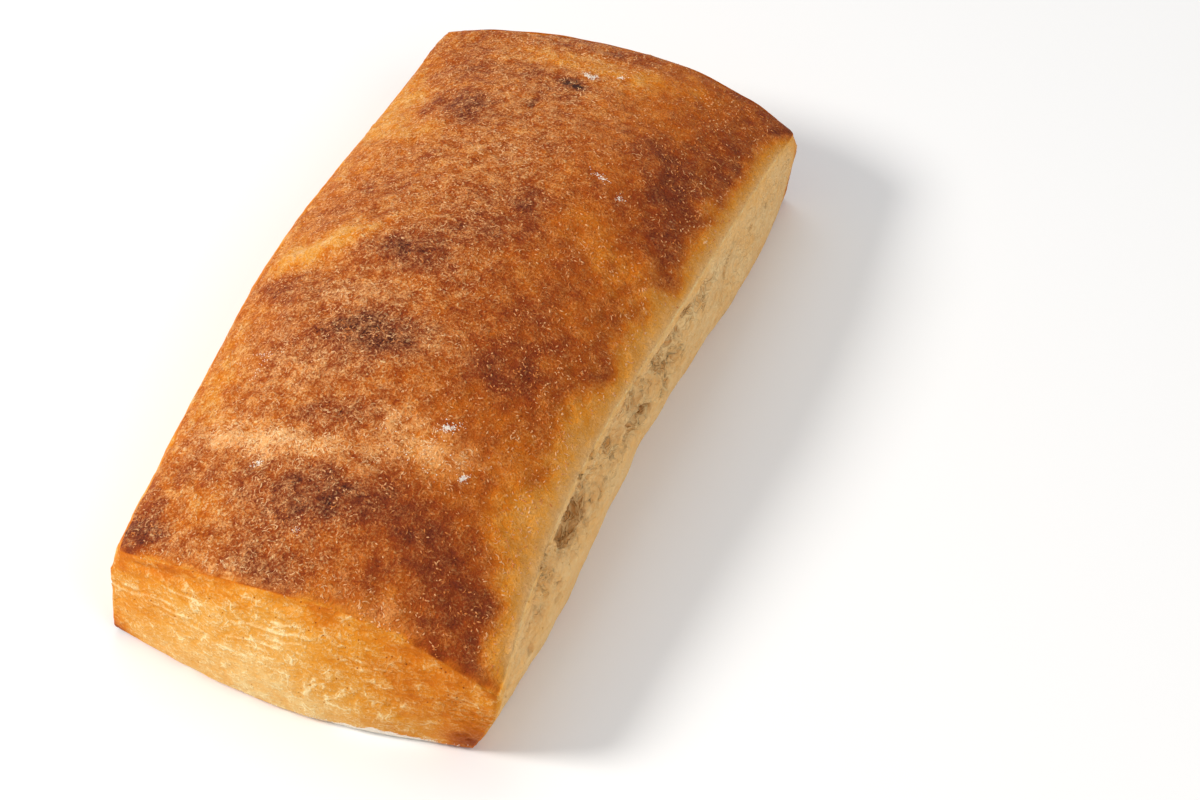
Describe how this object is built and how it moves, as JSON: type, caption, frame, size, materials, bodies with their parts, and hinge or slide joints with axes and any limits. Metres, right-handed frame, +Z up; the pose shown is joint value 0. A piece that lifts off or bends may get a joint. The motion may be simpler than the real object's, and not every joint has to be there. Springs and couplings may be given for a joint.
{
  "type": "ciabatta",
  "caption": "Whole ciabatta loaf, flat underneath, with a mottled brown crust, golden stretched ends and pale torn long sides.",
  "frame": {"origin": "centre of the underside's box, on the surface the loaf stands on", "axes": "+Z up from the flat underside; +Y along the loaf, from the golden near end to the far end; +X towards the torn side that the picture shows"},
  "size_m": [0.1238, 0.2486, 0.0613],
  "materials": {
    "crust": "matte",
    "flour": "matte"
  },
  "bodies": {
    "root": {"ciabatta_loaf": "crust"}
  },
  "joints": []
}
